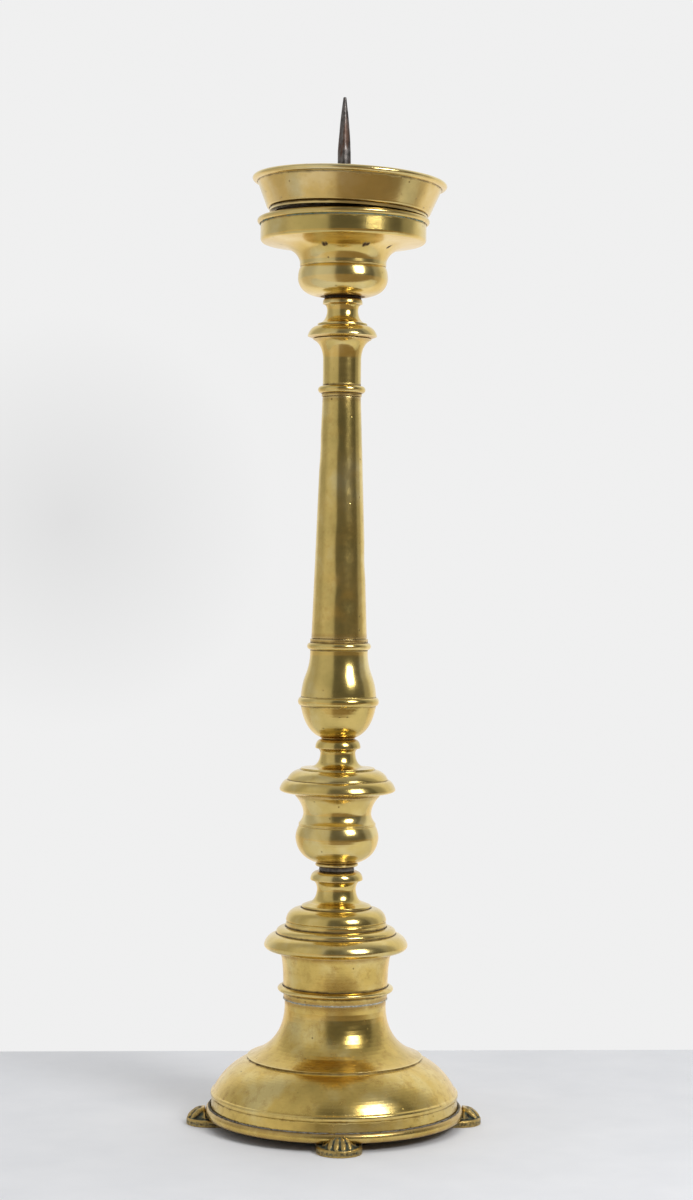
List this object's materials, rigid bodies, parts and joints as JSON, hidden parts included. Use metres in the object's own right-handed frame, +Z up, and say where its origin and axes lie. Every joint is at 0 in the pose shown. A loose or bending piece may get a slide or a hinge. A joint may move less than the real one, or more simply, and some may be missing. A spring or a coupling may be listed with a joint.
{
  "type": "altar candlestick",
  "caption": "Tall turned candlestick of stacked hollow mouldings on a tie rod, with a pricket spike, a dish, a loose drip pan and paw feet.",
  "frame": {"origin": "on the floor, in the middle of the feet, under the axis of the stem", "axes": "+Z up along the stem and the spike, -Y towards the front paw, +X towards the right paw, which is the side that the loose pan leans to"},
  "size_m": [0.19, 0.19, 0.6604],
  "materials": {
    "turned_brass": "polished, slightly tarnished",
    "tube_brass": "worn, mottled polish",
    "paw_brass": "cast, dark in the hollows and rubbed bright on the toes",
    "iron": "forged, brown with old rust",
    "lead": "dull grey lead",
    "leather": "dark oiled"
  },
  "bodies": {
    "stand": {"pricket_rod": "iron", "clamp_collar": "iron", "dish_washer": "iron", "candle_dish": "turned_brass", "dish_packing": "leather", "collar_cap": "turned_brass", "column_capital": "turned_brass", "column_shaft": "tube_brass", "pear_knop": "turned_brass", "knop_cap": "turned_brass", "urn_knop": "turned_brass", "lead_ring": "lead", "base_cap": "turned_brass", "base_drum": "turned_brass", "base_bell": "turned_brass", "rim_ring": "turned_brass", "paw_foot_front": "paw_brass", "paw_foot_right": "paw_brass", "paw_foot_back": "paw_brass", "paw_foot_left": "paw_brass", "foot_screw_front": "iron", "foot_screw_right": "iron", "foot_screw_back": "iron", "foot_screw_left": "iron", "foot_nut_front": "iron", "foot_nut_right": "iron", "foot_nut_back": "iron", "foot_nut_left": "iron", "cross_bar": "iron", "tie_washer": "iron", "tie_nut": "iron"},
    "pan": {"drip_pan": "turned_brass"}
  },
  "joints": [
    {"name": "pan_lift", "type": "slide", "parent": "stand", "child": "pan", "axis": [0, 0, 1], "range_m": [0, 0.09]}
  ]
}
